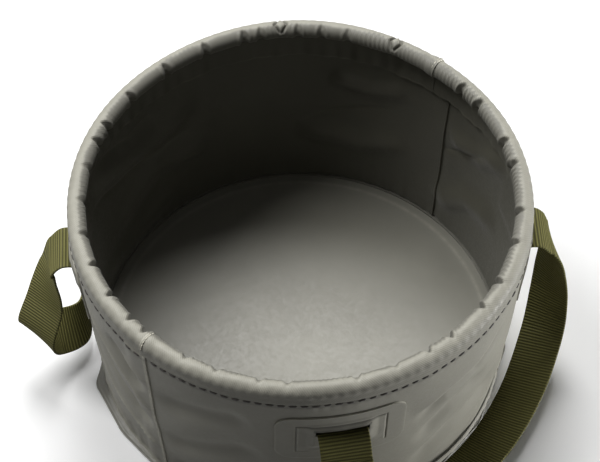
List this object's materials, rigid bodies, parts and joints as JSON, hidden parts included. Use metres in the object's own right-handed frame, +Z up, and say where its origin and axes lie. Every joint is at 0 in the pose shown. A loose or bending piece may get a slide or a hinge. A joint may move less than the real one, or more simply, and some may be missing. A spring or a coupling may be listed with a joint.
{
  "type": "collapsible water bowl",
  "caption": "Round soft-walled water bowl of coated cloth, held open by a springy ring in its gathered rolled rim, with webbing carrying handles that swing; it folds flat by pushing the rim down.",
  "frame": {"origin": "the middle of the bowl's underside, on the plane that it stands on", "axes": "+Z is up through the mouth, +X is right and -Y is the front in the picture; azimuths run from +X towards +Y"},
  "size_m": [0.3509, 0.3447, 0.1577],
  "materials": {
    "tarpaulin": "coated woven cloth, grey green, satin",
    "base cloth": "coated woven cloth, darker, satin",
    "olive webbing": "ribbed flat webbing, olive, slight sheen",
    "ring plastic": "smooth black tube",
    "joiner metal": "plain turned pin"
  },
  "bodies": {
    "root": {"base_panel": "base cloth", "base_seam": "base cloth", "wall_panel_front": "tarpaulin", "wall_panel_back": "tarpaulin", "handle_patch_front_a": "tarpaulin", "handle_patch_front_b": "tarpaulin", "handle_patch_back_a": "tarpaulin", "handle_patch_back_b": "tarpaulin"},
    "rim": {"rim_hem_front": "tarpaulin", "rim_hem_back": "tarpaulin", "rim_ring": "ring plastic", "ring_joiner": "joiner metal"},
    "strap_anchors": {"strap_end_front_a": "olive webbing", "strap_end_front_b": "olive webbing", "strap_end_back_a": "olive webbing", "strap_end_back_b": "olive webbing"},
    "handle_front": {"handle_strap_front": "olive webbing"},
    "handle_back": {"handle_strap_back": "olive webbing"}
  },
  "joints": [
    {"name": "collapse", "type": "slide", "parent": "root", "child": "rim", "axis": [0, 0, -1], "range_m": [0, 0.12], "deforming": ["wall_panel_front", "wall_panel_back", "handle_patch_front_a", "handle_patch_front_b", "handle_patch_back_a", "handle_patch_back_b"]},
    {"name": "anchors_follow", "type": "slide", "parent": "root", "child": "strap_anchors", "axis": [0, 0, -1], "range_m": [0, 0.0948]},
    {"name": "handle_front_swing", "type": "hinge", "parent": "strap_anchors", "child": "handle_front", "pos_m": [0.08998, -0.07157, 0.11134], "axis": [-0.6225, -0.7826, 0], "range_deg": [0, 150], "deforming": ["strap_end_front_a", "strap_end_front_b"]},
    {"name": "handle_back_swing", "type": "hinge", "parent": "strap_anchors", "child": "handle_back", "pos_m": [-0.08998, 0.07157, 0.11134], "axis": [0.6225, 0.7826, 0], "range_deg": [0, 150], "deforming": ["strap_end_back_a", "strap_end_back_b"]}
  ],
  "couplings": [
    {"joint": "anchors_follow", "follows": "collapse", "ratio": 0.79}
  ]
}
